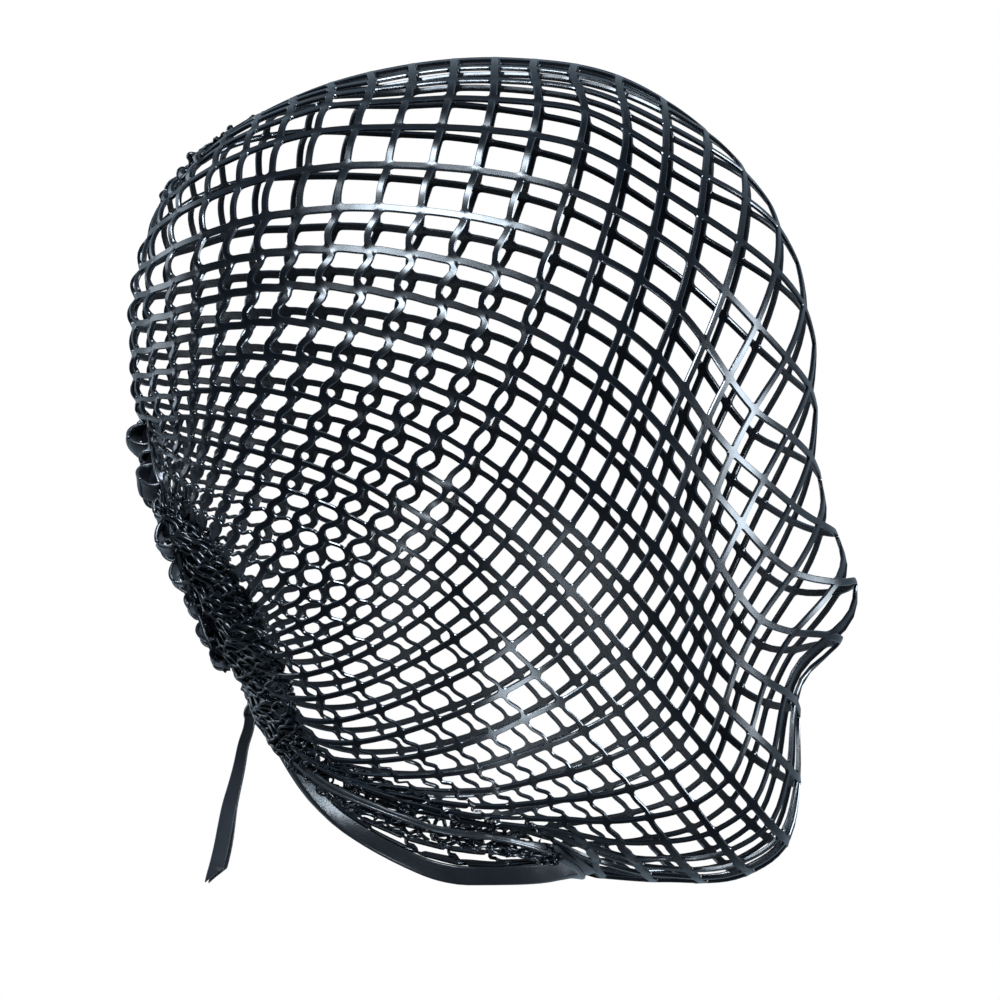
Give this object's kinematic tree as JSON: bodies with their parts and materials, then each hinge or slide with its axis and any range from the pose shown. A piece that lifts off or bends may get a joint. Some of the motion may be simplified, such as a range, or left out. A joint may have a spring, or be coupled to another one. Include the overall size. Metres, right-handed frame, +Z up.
{
  "type": "highlighting cap",
  "caption": "Black elastic lattice cap stretched over the shape of a head, with a smooth neck hem, a ruffled back opening gathered and knotted at the nape, and hanging tie straps.",
  "frame": {"origin": "on the cap's middle plane, at the middle of its length, at the height of the flat lower rim of the neck hem", "axes": "+X towards the face, +Y to the wearer's left, +Z up"},
  "size_m": [0.2017, 0.151, 0.2322],
  "materials": {
    "net": "satin black moulded rubber with soft highlights",
    "hem": "smooth glossy black rubber",
    "tie": "satin black rubber strap"
  },
  "bodies": {
    "cap": {"lattice_net": "net", "neck_hem_band": "hem", "neck_hem_lip": "hem", "back_edge_band": "hem", "net_gather_right": "net", "net_gather_left": "net", "nape_knot": "tie"},
    "root_right": {"tie_root_right": "tie"},
    "root_left": {"tie_root_left": "tie"},
    "tail_right": {"tie_tail_right": "tie"},
    "tail_left": {"tie_tail_left": "tie"}
  },
  "joints": [
    {"name": "tie_splay_right", "type": "hinge", "parent": "cap", "child": "root_right", "pos_m": [-0.06844, -0.0026, 0.0446], "axis": [1, 0, 0], "range_deg": [-70, 0]},
    {"name": "tie_splay_left", "type": "hinge", "parent": "cap", "child": "root_left", "pos_m": [-0.06844, 0.0026, 0.0446], "axis": [1, 0, 0], "range_deg": [0, 70]},
    {"name": "tie_swing_right", "type": "hinge", "parent": "root_right", "child": "tail_right", "pos_m": [-0.07082, -0.0026, 0.036], "axis": [0, 1, 0], "range_deg": [-15, 80]},
    {"name": "tie_swing_left", "type": "hinge", "parent": "root_left", "child": "tail_left", "pos_m": [-0.07082, 0.0026, 0.036], "axis": [0, 1, 0], "range_deg": [-15, 80]}
  ]
}
